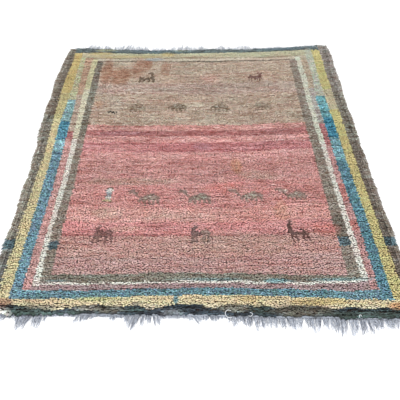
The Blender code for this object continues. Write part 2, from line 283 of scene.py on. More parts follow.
# Clouds of another skein, tied in among the rest: centre, half sizes, skein and how much of it there is
CLOUDS = (
    # x, y, half_x, half_y, skein, share
    (-41.5, 60, 2.5, 11, "rust", 0.85), (-35, 55, 4.5, 8, "rust", 0.9),
    (-27, 62, 3, 9, "rust", 0.65), (-23, 67, 1.5, 5, "rust", 0.8),
    (-15, 62, 2.2, 7, "rust", 0.55), (5, 53, 4, 4, "blush", 0.25),
    (-30, 44, 12, 3, "mauve taupe", 0.5), (-35.5, 31, 2.5, 3, "pale green", 0.3),
    (-42, 30, 1.5, 2, "orange", 0.3), (-29, 6.5, 9, 1.6, "violet", 0.3),
    (0.8, -3.5, 3, 2.5, "violet", 0.45), (12.7, -15.3, 1.7, 4.5, "orange", 0.45),
    (28, -31.2, 1.2, 0.8, "undyed white", 0.7), (-31, -42.5, 4.5, 2.2, "blush cream", 0.28),
    (-14, -50, 4, 1.6, "madder", 0.55), (-3, -46, 3, 1.8, "madder", 0.4),
    (-24, -25.2, 14, 1.9, "taupe", 0.45), (-28, -3.6, 13, 2.4, "peach", 0.45),
    (20, -22, 6, 2.6, "taupe", 0.35), (8, -28.5, 6, 2.4, "bright madder", 0.45),
    (39, -51, 3.5, 3.2, "bright madder", 0.55), (-24, -50.5, 4.5, 1.4, "blush cream", 0.25),
    (-8, -44.5, 10, 1.8, "camel", 0.3), (26, -42, 2, 5.5, "orange", 0.25),
    (10, -58, 16, 5, "taupe", 0.28), (20, -66, 14, 3, "brown rose", 0.4),
    (-56.5, -81.5, 3.2, 1.6, "rust", 0.75), (53.5, -84, 3.5, 1.3, "orange", 0.8),
    (33, -82.3, 7, 1.2, "gold", 0.75), (13, -81, 3, 1.2, "gold", 0.55),
    (22, -74, 4, 0.9, "turquoise", 0.8), (2, -73.3, 10, 0.6, "turquoise", 0.4),
    (40, -73.6, 10, 0.6, "turquoise", 0.45), (-42, -73.2, 4, 0.6, "turquoise", 0.4),
    (-7.7, -80.8, 0.7, 1.9, "indigo", 0.9), (-46, 79, 5.5, 1.6, "gold", 0.6),
    (-14.5, 77.5, 3, 2, "gold", 0.6), (-20.5, 72.3, 4, 1.4, "mist blue", 0.9),
    (-33, 75.5, 14, 1.4, "gold", 0.45), (52.5, 78.5, 1.7, 4.5, "pale green", 0.9),
    (-44.5, -83.3, 4, 0.7, "blush cream", 0.7), (-14, -83.4, 3, 0.7, "blush cream", 0.75),
    (2.4, -83.5, 2.5, 0.7, "blush cream", 0.7), (21, -83.6, 2.5, 0.7, "blush cream", 0.6),
    (35.5, -84.4, 3, 0.6, "blush cream", 0.6), (45, -84.5, 3, 0.7, "blush cream", 0.6),
    (-47.5, -81.2, 2.5, 0.9, "rust", 0.35), (-30, -80.5, 5, 0.9, "moss", 0.75),
    (-18.3, -82.5, 1.8, 0.6, "light umber", 0.75), (-48, -85.5, 7, 2.5, "bottle green", 0.8),
    (-35, -86, 4, 1.5, "bottle green", 0.7), (-31, -83.9, 3.6, 0.9, "pale sage", 0.6),
    (-26, -84.4, 4, 1.3, "shag brown", 1), (-19, -84.6, 3, 1, "bottle green", 0.6),
    (9, -84.5, 4, 1.3, "shag brown", 1), (9, -84.5, 3.6, 1.1, "pale sage", 0.3),
    (-8.5, -85.6, 2.5, 1, "slate blue", 0.4), (15.5, -85, 3, 1.6, "bottle green", 0.7),
    (26.5, -85.5, 7.5, 1.6, "shag brown", 1), (44, -87, 10, 1.5, "bottle green", 0.8),
    (-56.5, -86, 3.5, 2.5, "undyed white", 0.8), (-44, 82.3, 5, 1.1, "moss", 0.45),
    (-9, 81.6, 4, 0.9, "moss", 0.35), (-20, 82, 12, 1.8, "far blue", 0.6),
    (35, 84, 18, 1.8, "far blue", 0.6),
)

# Weaver's charts, one letter a knot, top row first
GOAT_LEFT = """
...xx........
..xx.........
.xx..........
.xxx......x..
.xxxx...xxxx.
.xxxxxxxxxxxx
.xxxxxxxxxxxx
xxxxxxxxxxxxx
xxxxxxxxxxxxx
xx.xxxxxxx.xx
xx.xx...xx.xx
x..xx...xx.xx
x..xx...xx..x
x..x....x...x
x..x....xx..x
x..x....x...x
"""
GOAT_MIDDLE = """
..kk........
.kkk........
kkk.........
kkk......oo.
kkk.....ooo.
kkkkk.ooooo.
kkkkkkkooooo
kkkkkkkooooo
kkkkkkkooooo
kkkkkk.ooooo
kk.k...oo.oo
kk.k...oo.oo
kk.k...oo.oo
kk.k...oo.oo
kk.kk..oo.oo
k..k...o..o.
"""
GOAT_RIGHT = """
..xx............
..xx............
.xxx............
.xx.............
.xxx............
.xxx.....x......
.xxx......x.....
.xxx......xx....
.xxxx......xx...
.xxxxxxxxxxxxx..
..xxxxxxxxxxxxx.
..xxxxxxxxxxxxx.
..xx.xx...xx.xx.
..xx.xx...xx.xx.
..xx.xx...xx..x.
...x..xx...x..xx
...x..x....xx..x
...x..x.........
"""
GOAT_FAR_LEFT = """
.........ddd.
.........ddd.
........ddddd
........ddddd
..........dd.
..........dd.
..........dd.
d.........ddd
d.........ddd
dddd..ddddddd
dddd.dddddddd
ddddddddddddd
ddddddddddddd
dd.dd...dd.dd
dd.dd...dd.dd
dd.dd...dd.dd
d..d....d...d
d..d....d...d
"""
GOAT_FAR_RIGHT = """
.........xx.x
.........xxxx
..........xx.
.x........xx.
.xx......xxx.
.xx......xxx.
.xxxxxxxxxxx.
xxxxxxxxxxxx.
xxxxxxxxxxxx.
x.xx.xxx.xxx.
x.x..x.x.x.xx
x.x..x.x.x..x
x.x....x.x..x
..x......x...
"""
CAMEL = """
.oooo.................
oooooo................
.oooooo...............
....ooo........ooo....
.....oo......ooeooo...
......oo...oooeeeoooo.
.......o.oooooeeooeooo
........oooeeoooeeeooo
........ooooeeooeeoooo
........ooeooeoooeoooo
........oo.oo.oo.oo.oo
........oo.oo.oo.oo.oo
.........o.oo..o.oo..o
............o....o....
"""
FIGURE = """
...dddd
..dbwwd
..bbwww
..bwwww
..bbwww
..sbbb.
..ssss.
..ssss.
..sbbs.
..swbs.
..wwww.
..wwww.
.yyyww.
yyyyyyy
ddd.ddd
"""
FAR_CAMEL = """
......fff......
....fffffff....
...ffeeffeeff..
..fffeefffefff.
.ffffeffefffeff
ffffffeeffffeff
ff.ffeefffeffff
f..fffffeffffff
...ff.ff.ff.fff
...ff.ff.ff..ff
...f..ff..f..f.
...f...f..f..f.
"""
FAR_FIGURE = """
......ee.....
.....ee......
.............
....ee..ee...
...ee..eeee..
...eee.ee.eee
....e..ee..e.
...ee...eee..
.......ee....
"""
FAR_FEET = """
.nn.....
nnn.n.nn
nn.nn.nn
...n.n..
"""
CHART_SKEINS = {
    "x": "goat brown",
    "k": "goat grey",
    "o": "olive grey",
    "e": "pale sage",
    "w": "undyed white",
    "b": "mist blue",
    "s": "slate blue",
    "y": "straw",
    "d": "faded brown",
    "f": "faint olive",
    "n": "black brown",
}
CHARTS = (
    # chart, left edge x, top y, width and height of one knot in cm, share
    (GOAT_LEFT, -34, -48.7, 0.46, 0.56, 0.76),
    (GOAT_MIDDLE, -3.5, -49, 0.49, 0.54, 0.85),
    (GOAT_RIGHT, 26.6, -47.2, 0.44, 0.57, 1),
    (GOAT_FAR_LEFT, -26.5, 58.8, 0.51, 0.56, 0.95),
    (GOAT_FAR_RIGHT, 22, 58.1, 0.51, 0.6, 0.9),
    (CAMEL, -25, -30.1, 0.5, 0.6, 0.9),
    (CAMEL, -8.2, -29.9, 0.51, 0.6, 0.95),
    (CAMEL, 8.8, -29.7, 0.53, 0.55, 0.85),
    (CAMEL, 24.9, -29.6, 0.47, 0.5, 0.85),
    (FAR_CAMEL, -29.8, 30, 0.51, 0.56, 0.7),
    (FAR_CAMEL, -13, 30, 0.51, 0.56, 0.9),
    (FAR_CAMEL, 4.4, 29.6, 0.51, 0.56, 0.8),
    (FAR_CAMEL, 22, 30.7, 0.51, 0.56, 0.6),
    (FIGURE, -33, -28.6, 0.44, 0.54, 0.9),
    (FAR_FIGURE, -37.4, 33.7, 0.51, 0.56, 0.75),
    (FAR_FEET, -37.4, 24.2, 0.51, 0.6, 1),
)


def dyed(names):
    """The colours of these skeins, one row each."""
    return np.array([DYES[name] for name in names])


def tied_from(skeins, at):
    """The colour of the skein that is in use at each of these places along a stripe."""
    starts = np.array([start for start, _ in skeins])
    return dyed([name for _, name in skeins])[np.clip(np.searchsorted(starts, at) - 1, 0, None)]


def stripe_number(table, at, across, sign):
    """How many stripes in from one edge of the rug these places lie, from 0 for the outermost."""
    stations = [row[0] for row in table]
    number = np.zeros(across.shape, int)
    for column in range(1, FIELD + 1):
        line = np.interp(at, stations, [row[column] for row in table])
        number += (across - line) * sign > 0
    return number


def design(x, y, wander):
    """The rug's colours and stripes at these places, in centimetres. wander is noise from -1 to 1."""
    near_y = y + 0.15 * np.sin(0.5 * x)
    numbers = np.stack(
        [
            stripe_number(LEFT_STRIPES, y, x, 1),
            stripe_number(RIGHT_STRIPES, y, x, -1),
            stripe_number(NEAR_STRIPES, x, near_y, 1),
            stripe_number(FAR_STRIPES, x, y, -1),
        ]
    )
    # The near end's outer bands run right across the rug, and the outermost has a wavy edge
    hem_x, hem_y = np.array(HEM_LINE).T
    numbers[2] = np.where(numbers[2] < 2, y > np.interp(x, hem_x, hem_y), numbers[2])
    numbers[:2] = np.where(numbers[2] < 2, FIELD, numbers[:2])
    stripe = numbers.min(axis=0)
    sides = numbers[:2]
    edge = np.where(sides.min(axis=0) == stripe, sides.argmin(axis=0), numbers.argmin(axis=0))

    # The field's bands rise towards the sides, and a little more on the right
    rise = 4.0 * (x / 100) ** 2 + 1.1 * np.clip((x - 18) / 10, 0, 1)
    colour = tied_from(FIELD_SKEINS, y - rise + 0.35 * wander)
    along = y + 0.5 * wander
    for ring in range(FIELD):
        here = stripe == ring
        for number, skeins in enumerate((LEFT_SKEINS, RIGHT_SKEINS)):
            mask = here & (edge == number)
            colour[mask] = tied_from(skeins[ring], along[mask])
        for number, skeins in ((2, NEAR_SKEINS), (3, FAR_SKEINS)):
            colour[here & (edge == number)] = DYES[skeins[ring]]

    for cloud_x, cloud_y, half_x, half_y, skein, share in CLOUDS:
        off = np.hypot((x - cloud_x) / half_x, (y - cloud_y) / half_y) + 0.35 * wander
        amount = (share * np.clip(2.2 - 1.6 * off, 0, 1))[..., None]
        colour = colour + amount * (dyed([skein])[0] - colour)

    for chart, left, top, knot_width, knot_height, share in CHARTS:
        rows = chart.split()
        column = np.floor((x - left) / knot_width).astype(int)
        row = np.floor((top - y) / knot_height).astype(int)
        inside = (column >= 0) & (column < len(rows[0])) & (row >= 0) & (row < len(rows))
        letters = np.array([list(line) for line in rows])
        found = np.where(inside, letters[row % len(rows), column % len(rows[0])], ".")
        for letter, skein in CHART_SKEINS.items():
            mask = found == letter
            colour[mask] += share * (dyed([skein])[0] - colour[mask])
    return colour, stripe


def drift(draw, shape, spacing):
    """Smooth noise from about -1 to 1 over a grid, with these spacings between its random values."""
    counts = [int(size / step) + 3 for size, step in zip(shape, spacing)]
    values = draw.uniform(-1, 1, counts)
    for axis, (size, step) in enumerate(zip(shape, spacing)):
        at = np.arange(size) / step
        low = at.astype(int)
        share = at - low
        share = share * share * (3 - 2 * share)
        share = share[:, None] if axis == 0 else share[None, :]
        first, second = np.take(values, low, axis), np.take(values, low + 1, axis)
        values = first + share * (second - first)
    return values


def give_cells(mesh):
    """Gives every face its own small cell of the UV map."""
    counts = np.zeros(len(mesh.polygons), np.int32)
    mesh.polygons.foreach_get("loop_total", counts)
    face = np.repeat(np.arange(len(counts)), counts)
    corner = np.arange(len(face)) - np.repeat(np.cumsum(counts) - counts, counts)
    corners = counts[face]
    angle = math.tau * (corner + 0.5) / corners
    reach = np.where(corners == 4, 0.58, 0.46)
    side = math.ceil(math.sqrt(len(counts)))
    across = (face % side + 0.5 + reach * np.cos(angle)) / side
    up = (face // side + 0.5 + reach * np.sin(angle)) / side
    layer = mesh.uv_layers.get("OFBake") or mesh.uv_layers.new(name="OFBake")
    layer.data.foreach_set("uv", np.stack([across, up], axis=-1).astype(np.float32).ravel())


def many_copies(name, template, positions, layers):
    """One mesh of many copies of a template, from each copy's vertices and the layers of its attributes."""
    copies, count = positions.shape[:2]
    faces = [[vert.index for vert in face.verts] for face in template.faces]
    loops = np.concatenate([np.array(face) for face in faces])
    starts = np.cumsum([0] + [len(face) for face in faces[:-1]])
    mesh = bpy.data.meshes.new(name)
    mesh.vertices.add(copies * count)
    mesh.vertices.foreach_set("co", positions.astype(np.float32).ravel())
    offsets = np.arange(copies)[:, None]
    corners = (loops[None, :] + offsets * count).astype(np.int32)
    mesh.loops.add(copies * len(loops))
    mesh.loops.foreach_set("vertex_index", corners.ravel())
    firsts = (starts[None, :] + offsets * len(loops)).astype(np.int32)
    mesh.polygons.add(copies * len(faces))
    mesh.polygons.foreach_set("loop_start", firsts.ravel())
    mesh.update(calc_edges=True)
    for layer, values in layers.items():
        kind = "FLOAT_COLOR" if values.shape[-1] == 4 else "FLOAT"
        field = "color" if kind == "FLOAT_COLOR" else "value"
        attribute = mesh.attributes.new(layer, kind, "POINT")
        attribute.data.foreach_set(field, values.astype(np.float32).ravel())
    give_cells(mesh)
    return mesh


class Signal:
    """A number that varies over a surface. Sums on it add Math nodes to its finish."""

    def __init__(self, finish, socket):
        self.finish = finish
        self.socket = socket

    def combine(self, operation, first, second):
        node = self.finish.node("ShaderNodeMath", {"operation": operation}, {0: first, 1: second})
        return Signal(self.finish, node.outputs[0])

    def __add__(self, other):
        return self.combine("ADD", self, other)

    def __mul__(self, other):
        return self.combine("MULTIPLY", self, other)

    __radd__ = __add__
    __rmul__ = __mul__


class Finish:
    """A piece's material, with its nodes."""

    def __init__(self, name, roughness, sheen):
        self.material = bpy.data.materials.new(name)
        self.material.use_nodes = True
        self.tree = self.material.node_tree
        self.shader = self.tree.nodes["Principled BSDF"]
        wool = {"Specular IOR Level": 0.15, "Sheen Weight": sheen, "Sheen Roughness": 0.6}
        for socket, value in {"Roughness": roughness, **wool}.items():
            self.shader.inputs[socket].default_value = value

    def node(self, kind, settings=None, sockets=None):
        node = self.tree.nodes.new(kind)
        for setting, value in (settings or {}).items():
            setattr(node, setting, value)
        for socket, value in (sockets or {}).items():
            self.feed(node.inputs[socket], value)
        return node

    def feed(self, socket, value):
        if isinstance(value, Signal):
            value = value.socket
        if isinstance(value, bpy.types.NodeSocket):
            self.tree.links.new(value, socket)
        else:
            socket.default_value = value

    def attribute(self, name):
        """The colour and the number of one of the mesh's attributes."""
        node = self.node("ShaderNodeAttribute", {"attribute_name": name})
        return node.outputs["Color"], Signal(self, node.outputs["Fac"])

    def noise(self, scale, detail, stretch=(1.0, 1.0, 1.0)):
        """Noise from 0 to 1 on the object's own coordinates."""
        place = self.node("ShaderNodeTexCoord").outputs["Object"]
        stretched = self.node("ShaderNodeVectorMath", {"operation": "MULTIPLY"}, {0: place, 1: stretch})
        sockets = {"Vector": stretched.outputs[0], "Scale": scale, "Detail": detail}
        return Signal(self, self.node("ShaderNodeTexNoise", None, sockets).outputs["Fac"])

    def scaled(self, colour, amount):
        """A colour made lighter or darker by a varying amount."""
        node = self.node("ShaderNodeVectorMath", {"operation": "SCALE"}, {0: colour, "Scale": amount})
        return node.outputs[0]

    def colour(self, value):
        self.feed(self.shader.inputs["Base Color"], value)

    def bump(self, height, distance, strength):
        sockets = {"Height": height, "Distance": distance, "Strength": strength}
        self.feed(self.shader.inputs["Normal"], self.node("ShaderNodeBump", None, sockets).outputs[0])


def pile_wool_finish():
    """Soft, dull wool with fine fibres, painted darker down between the tufts towards the roots as painted
    shade.
    """
    finish = Finish("pile_wool", 0.95, 0.08)
    colour_and_painted_light, _ = finish.attribute("colour_and_painted_light")
    _, reach = finish.attribute("reach")
    fibres = finish.noise(900.0, 2.0, (1.0, 1.0, 0.35))
    # Painted shade: the wool darkens towards the roots, between the tufts; the fibres vary its tone
    painted_shade_and_tone = (0.85 + reach * 0.15) * (0.82 + fibres * 0.36)
    finish.colour(finish.scaled(colour_and_painted_light, painted_shade_and_tone))
    finish.bump(fibres, 0.0007, 0.6)
    return finish.material


def add_piece(name, mesh, material, slot, *nodes):
    """Puts a finished piece in the scene, riding on the rug and standing for these nodes of the frame."""
    mesh.materials.append(material)
    mesh.shade_smooth()
    piece = bpy.data.objects.new(name, mesh)
    bpy.context.scene.collection.objects.link(piece)
    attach(piece, "root")
    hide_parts(*nodes)
    return piece


def places_in(bm):
    """The vertices of a form, one row each."""
    return np.array([vert.co for vert in bm.verts])


def tuft_template():
    """One knot's tuft: three walls that swell out and then close to a point. Z is the share of its height."""
    bm = bmesh.new()
    bmesh.ops.create_circle(bm, cap_ends=True, segments=3, radius=0.36)
    face = next(iter(bm.faces))
    for height, swell in ((0.72, 1.39), (1.0, 0.05)):
        lifted = bmesh.ops.extrude_face_region(bm, geom=[face], use_keep_orig=height < 1)["geom"]
        face = next(item for item in lifted if isinstance(item, bmesh.types.BMFace))
        for vert in face.verts:
            vert.co.z = height
        bmesh.ops.scale(bm, vec=(swell, swell, 1.0), verts=face.verts)
    bmesh.ops.pointmerge(bm, verts=face.verts[:], merge_co=(0.0, 0.0, 1.0))
    bmesh.ops.recalc_face_normals(bm, faces=bm.faces)
    bm.verts.index_update()
    return bm


def knotted_pile():
    """The knots of the whole rug, in lengthwise strips."""
    draw = np.random.default_rng(11)
    shape = (KNOT_ROWS, KNOT_COLUMNS)

    def noise(*spacing):
        return drift(draw, shape, spacing)

    def spread(most):
        return draw.normal(0, 1, shape).clip(-most, most)

    rows, columns = np.meshgrid(np.arange(KNOT_ROWS), np.arange(KNOT_COLUMNS), indexing="ij")
    u = (columns + 0.5 + draw.uniform(-0.30, 0.30, shape)) / KNOT_COLUMNS * 2 - 1
    unrest = np.where(rows < 4, 2.0, 1)
    v = (rows + 0.5 + draw.uniform(-0.28, 0.28, shape) * unrest) / KNOT_ROWS * 2 - 1
    x, y = pile_plan(u, v)

    # Height and lean, with the rows parting here and there
    part = 0.5 * noise(3.2, 18) + 0.5 * noise(1.8, 9)
    ragged = 0.6 * noise(1, 2.5) + 0.7 * noise(2, 7)
    near_rows = np.clip(1 - rows / NEAR_RIM, 0, 1)
    far_rows = np.clip(1 - (KNOT_ROWS - 1 - rows) / FAR_RIM, 0, 1)
    side_columns = np.clip(1 - np.minimum(columns, KNOT_COLUMNS - 1 - columns) / SIDE_RIM, 0, 1)
    top = PILE_TOP + 0.0004 + lump(x, y) + 0.0006 * spread(2) + 0.0007 * part
    top -= 0.0022 * side_columns + 0.0015 * far_rows + 0.0035 * near_rows**2
    lean_y = -TUFT_LEAN + 0.0022 * part + 0.0009 * draw.normal(0, 1, shape)
    lean_y += FAR_FLOP * far_rows * (1 + 0.4 * ragged)
    near_lean = (NEAR_FLOP_MIDDLE + NEAR_FLOP_CORNER * np.abs(u)) * near_rows**1.5
    near_lean *= 1 + 0.6 * ragged + 0.6 * noise(3, 20)
    lean_y -= near_lean
    lean_x = 0.0018 * noise(10, 10) + 0.0011 * draw.normal(0, 1, shape)
    flop = np.where(u < 0, -SIDE_FLOP_LEFT, SIDE_FLOP_RIGHT) * side_columns**1.2
    lean_x += flop * (1 + 0.08 * noise(5, 4) + 0.30 * noise(17, 40))
    droop = NEAR_DROOP * near_rows**1.5 + SIDE_DROOP * side_columns**1.5
    turn = draw.uniform(0, math.tau, shape)
    width = TUFT_WIDTH * draw.uniform(0.88, 1.15, shape) * (1 + 0.3 * near_rows)
    depth = TUFT_DEPTH * draw.uniform(0.90, 1.20, shape) * (1 + 0.6 * side_columns)

    # The design as it is seen on the leaning tufts
    wander = 0.6 * noise(4, 12) + 0.4 * noise(1.3, 5)
    seen_x = x + TIP_SHARE * (lean_x - flop)
    seen_y = y - TIP_SHARE * (TUFT_LEAN + near_lean) - DRAWING_SHIFT
    colour, stripe = design(seen_x * 100, seen_y * 100, wander)

    # Tone: streaks along the rows, longer near the near end, a few dark lines of painted shade where the rows
    # part and pale lines of painted highlight, and single knots
    speckle = np.array(TONE_SPREAD)[stripe]
    nearness = np.clip(1 - rows / 170, 0, 1)
    streaks_and_painted_light = 0.20 * (nearness * noise(1, 3.8) + (1 - nearness) * noise(1, 2.4))
    streaks_and_painted_light += 0.07 * noise(1, 14) + 0.06 * noise(2, 36) + 0.04 * noise(15, 50)
    # Painted shade: dark lines where the rows part; then painted highlight: pale lines
    streaks_and_painted_light -= np.clip(noise(1, 8) - 0.42, 0, 1) * 0.50
    streaks_and_painted_light += np.clip(noise(1, 6) - 0.50, 0, 1) * 0.35
    pale = (stripe == WHITE) | ((stripe == BLUE) & (v > 0.38))
    calm = np.where(pale, PALE_CALM, np.where(stripe == YELLOW, YELLOW_CALM, 1.0))
    calm *= 1 + 0.35 * np.sin(math.pi * np.clip((rows - 60) / 230, 0, 1))
    speckle *= 1 - 0.4 * np.clip(v, 0, 1) * (stripe == BLUE)
    # The knots' tone, with the painted shade and highlights of the row lines
    light = 1 + calm * (streaks_and_painted_light + speckle * spread(2.2))

    # Hue: single knots, and wider clouds that run from red to green and blue
    mottle = np.array(HUE_SPREAD)[stripe][..., None]
    hue = 1 + mottle * draw.normal(0, 1, (*shape, 3)).clip(-2, 2)
    hue[..., 1:] += (HUE_DRIFT * (0.5 * noise(1.3, 7) + 0.7 * noise(4, 16)))[..., None]
    grey = colour.mean(axis=-1, keepdims=True)
    colour = colour + WOOL_GREYING * (grey - colour)
    # Painted shade: the outer tufts are darkened, as they lie open to the light
    colour = colour * (1 - PAINTED_SHADE_ON_OUTER_TUFTS * side_columns)[..., None]
    # The steps are the same for all dyes, so a pale knot is greyer and a dark one stronger in colour
    seen = (colour * hue * WOOL_DEPTH) ** (1 / EYE_GAMMA)
    seen = seen + np.array(TONE_STEP) * (light[..., None] - 1)
    colour = np.clip(seen, *TONE_LIMITS) ** EYE_GAMMA

    template = tuft_template()
    form = places_in(template)
    reach = form[:, 2]
    is_tip = reach > 0.9
    material = pile_wool_finish()
    strips = []
    for strip in range(PILE_STRIPS):
        some = (columns * PILE_STRIPS // KNOT_COLUMNS) == strip

        def each(values):
            return values[some][:, None]

        cos, sin = np.cos(each(turn)), np.sin(each(turn))
        across = (cos * form[None, :, 0] - sin * form[None, :, 1]) * each(width)
        along = (sin * form[None, :, 0] + cos * form[None, :, 1]) * each(depth)
        bend = reach[None, :] ** (1.5 + 0.5 * each(np.maximum(side_columns, far_rows)))
        height = each(top) * reach + TUFT_ROOT * (1 - reach) - each(droop) * is_tip
        positions = np.stack(
            [
                each(x) + across + each(lean_x) * bend,
                each(y) - DRAWING_SHIFT + along + each(lean_y) * bend,
                np.maximum(height, FLOOR_CLEARANCE),
            ],
            axis=-1,
        )
        # Each knot's wool colour, with its painted shade and highlights, for the finish to read
        colour_and_painted_light = np.ones((some.sum(), len(form), 4))
        colour_and_painted_light[..., :3] = colour[some][:, None, :]
        layers = {"colour_and_painted_light": colour_and_painted_light, "reach": np.broadcast_to(reach, (some.sum(), len(form)))}
        mesh = many_copies(f"knotted_pile_{strip + 1}", template, positions, layers)
        strips.append(add_piece(mesh.name, mesh, material, "pile_wool", "knotted_pile"))
    template.free()
    return strips


pile_strips = knotted_pile()


# ---- Woven ground ----
# The wool cloth that carries the knots: warps under thick brown-red wefts, about 4 mm thick. On the back
# each knot shows as a small flat loop in its own colour, so the whole design can be read there.

GROUND_ACROSS = 66
GROUND_ALONG = 94
WEFT_SHOWING = 0.1


def mesh_of(name, bm):
    """The finished mesh of this form, which is then let go."""
    mesh = bpy.data.meshes.new(name)
    bm.to_mesh(mesh)
    bm.free()
    return mesh


def give_colour_and_painted_light(mesh, colours):
    """Stores each vertex's colour as the attribute that the finishes read."""
    shown = np.ones((len(colours), 4))
    shown[:, :3] = colours
    layer = mesh.attributes.new("colour_and_painted_light", "FLOAT_COLOR", "POINT")
    layer.data.foreach_set("color", shown.astype(np.float32).ravel())


def slab(bm, x, y):
    """Lays a grid out at these places and closes it. Gives its top vertices, which still lie in its base."""
    for vert, across, along in zip(bm.verts, x, y - DRAWING_SHIFT):
        vert.co = (across, along, 0.0)
    raised = bmesh.ops.extrude_face_region(bm, geom=bm.faces[:], use_keep_orig=True)["geom"]
    # The rim's faces come in any order, so all are put in order of their places
    faces = bm.faces[:]
    for place, number in enumerate(np.lexsort(np.array([face.calc_center_median() for face in faces]).T)):
        faces[number].index = place
    bm.faces.sort()
    return [item for item in raised if isinstance(item, bmesh.types.BMVert)]


def woven_ground():
    """A thin closed sheet under the whole pile, with a soft edge."""
    bm = bmesh.new()
    bmesh.ops.create_grid(bm, x_segments=GROUND_ACROSS, y_segments=GROUND_ALONG, size=1.0)
    flat = places_in(bm)
    x, y = pile_plan(flat[:, 0], flat[:, 1], margin=0.0008)
    colour, _ = design(x * 100, (y - DRAWING_SHIFT) * 100, np.zeros(len(x)))
    bmesh.ops.translate(bm, verts=slab(bm, x, y), vec=(0.0, 0.0, GROUND_TOP))
    bmesh.ops.recalc_face_normals(bm, faces=bm.faces)
    mesh = mesh_of("woven_ground", bm)
    # The back shows the knots' colours, and the top the weft between them, where the knots' colours are
    # darkened as painted shade under the pile
    weft_under_painted_shade = 0.35 * colour + WEFT_SHOWING * np.array(DYES["madder"])
    give_colour_and_painted_light(mesh, np.concatenate([colour, weft_under_painted_shade]))
    return mesh


def ground_finish():
    """Flat wool loops in rows, with the warps' ribs along the rug, and painted shade in their hollows."""
    finish = Finish("ground_wool", 0.9, 0.10)
    colour_and_painted_light, _ = finish.attribute("colour_and_painted_light")
    place = finish.node("ShaderNodeTexCoord").outputs["Object"]
    rows = finish.node(
        "ShaderNodeTexWave",
        {"bands_direction": "Y", "wave_profile": "SIN"},
        {"Vector": place, "Scale": 45.0, "Distortion": 1.5, "Detail": 2.0, "Detail Scale": 3.0},
    )
    ribs = finish.node(
        "ShaderNodeTexWave",
        {"bands_direction": "X", "wave_profile": "SIN"},
        {"Vector": place, "Scale": 98.0, "Distortion": 0.8, "Detail": 1.0, "Detail Scale": 3.0},
    )
    weave = Signal(finish, rows.outputs["Fac"]) * 0.6 + Signal(finish, ribs.outputs["Fac"]) * 0.4
    fibres = finish.noise(700.0, 2.0)
    # Painted shade: the hollows of the rows and ribs are darker; the fibres vary the tone
    finish.colour(finish.scaled(colour_and_painted_light, (0.62 + weave * 0.5) * (0.8 + fibres * 0.4)))
    finish.bump(weave + fibres * 0.2, 0.0012, 0.8)
    return finish.material


ground = add_piece("woven_ground", woven_ground(), ground_finish(), "pile_wool", "knotted_pile")


# ---- Selvedges ----
# Each side's outermost warps are bound into a cord, overcast with undyed brown and grey wool, one turn
# beside the other, about 8 mm thick.

WRAP_PITCH = 0.0034
WRAP_RELIEF = 0.00045
LOOSE_WRAP = 0.00012
WRAP_SLANT = 0.0022
CORD_SIDES = 12
CORD_SKEINS = ("dark umber", "umber", "light umber", "slate umber", "umber", "light umber", "slate umber")
CORD_LIGHTNESS = 1.15


def rolled_tube(rings, sides):
    """A closed tube: a grid rolled up, with capped ends. X holds the turn and Z the share of its length."""
    bm = bmesh.new()
    bmesh.ops.create_grid(bm, x_segments=sides, y_segments=rings - 1, size=0.5)
    for vert in bm.verts:
        angle, along = math.tau * (vert.co.x + 0.5), vert.co.y + 0.5
        vert.co = (math.cos(angle), math.sin(angle), along)
    bmesh.ops.remove_doubles(bm, verts=bm.verts, dist=0.0001 / rings)
    bmesh.ops.holes_fill(bm, edges=[edge for edge in bm.edges if edge.is_boundary])
    bmesh.ops.recalc_face_normals(bm, faces=bm.faces)
    return bm


def overcast_cord(name, side):
    """One side's cord of wrapped yarn, along the rug's edge."""
    near = float(end_at(side_at(np.array(-RUG_LENGTH / 2), side), -1))
    far = float(end_at(side_at(np.array(RUG_LENGTH / 2), side), 1))
    wraps = round((far - near) / WRAP_PITCH)
    bm = rolled_tube(2 * wraps + 1, CORD_SIDES)
    form = places_in(bm)
    draw = np.random.default_rng(31 + side)
    angle = np.arctan2(form[:, 1], form[:, 0])
    turn = form[:, 2] * wraps
    loose = draw.normal(0, 1, wraps + 2).clip(-2, 2)[np.floor(turn + 0.5).astype(int)]
    relief = WRAP_RELIEF * (-np.cos(math.tau * turn)) + LOOSE_WRAP * loose
    inside = (form[:, 2] > 0.0005) & (form[:, 2] < 0.9995)
    y = near + (far - near) * form[:, 2] + WRAP_SLANT * np.cos(angle) * inside
    middle = side_at(y, side) - side * SELVEDGE_WIDTH / 2
    swell = 1 + 0.05 * np.sin(31 * y + side) + 0.04 * np.sin(83 * y)
    x = middle + np.cos(angle) * (SELVEDGE_WIDTH / 2 * swell + relief)
    z = SELVEDGE_HEIGHT / 2 * (1 + np.sin(angle) * np.where(np.sin(angle) > 0, swell, 1.0))
    z = np.maximum(z + np.sin(angle) * relief, 0.0)
    for vert, across, along, up in zip(bm.verts, x, y - DRAWING_SHIFT, z):
        vert.co = (across, along, up)
    mesh = mesh_of(name, bm)

    # The wool changes from wrap to wrap, and in longer lengths where a new yarn was taken
    shades = dyed(CORD_SKEINS)
    lengths = np.floor(turn / 37 + 2 * np.sin(turn / 90)).astype(int) % len(shades)
    # Painted shade: the wool is darker in the grooves between the wraps
    painted_groove_shade = (0.86 - 0.28 * np.cos(math.tau * turn))[:, None]
    tone = shades[lengths] * (1 + 0.12 * loose[:, None]) * painted_groove_shade * CORD_LIGHTNESS
    give_colour_and_painted_light(mesh, np.clip(tone, 0.01, 0.9))
    return mesh


def cord_finish():
    """Hard-spun wool yarn with a few stray fibres."""
    finish = Finish("selvedge_wool", 0.88, 0.25)
    colour_and_painted_light, _ = finish.attribute("colour_and_painted_light")
    fibres = finish.noise(800.0, 3.0, (0.5, 1.4, 0.5))
    finish.colour(finish.scaled(colour_and_painted_light, 0.75 + fibres * 0.5))
    finish.bump(fibres, 0.0006, 0.7)
    return finish.material


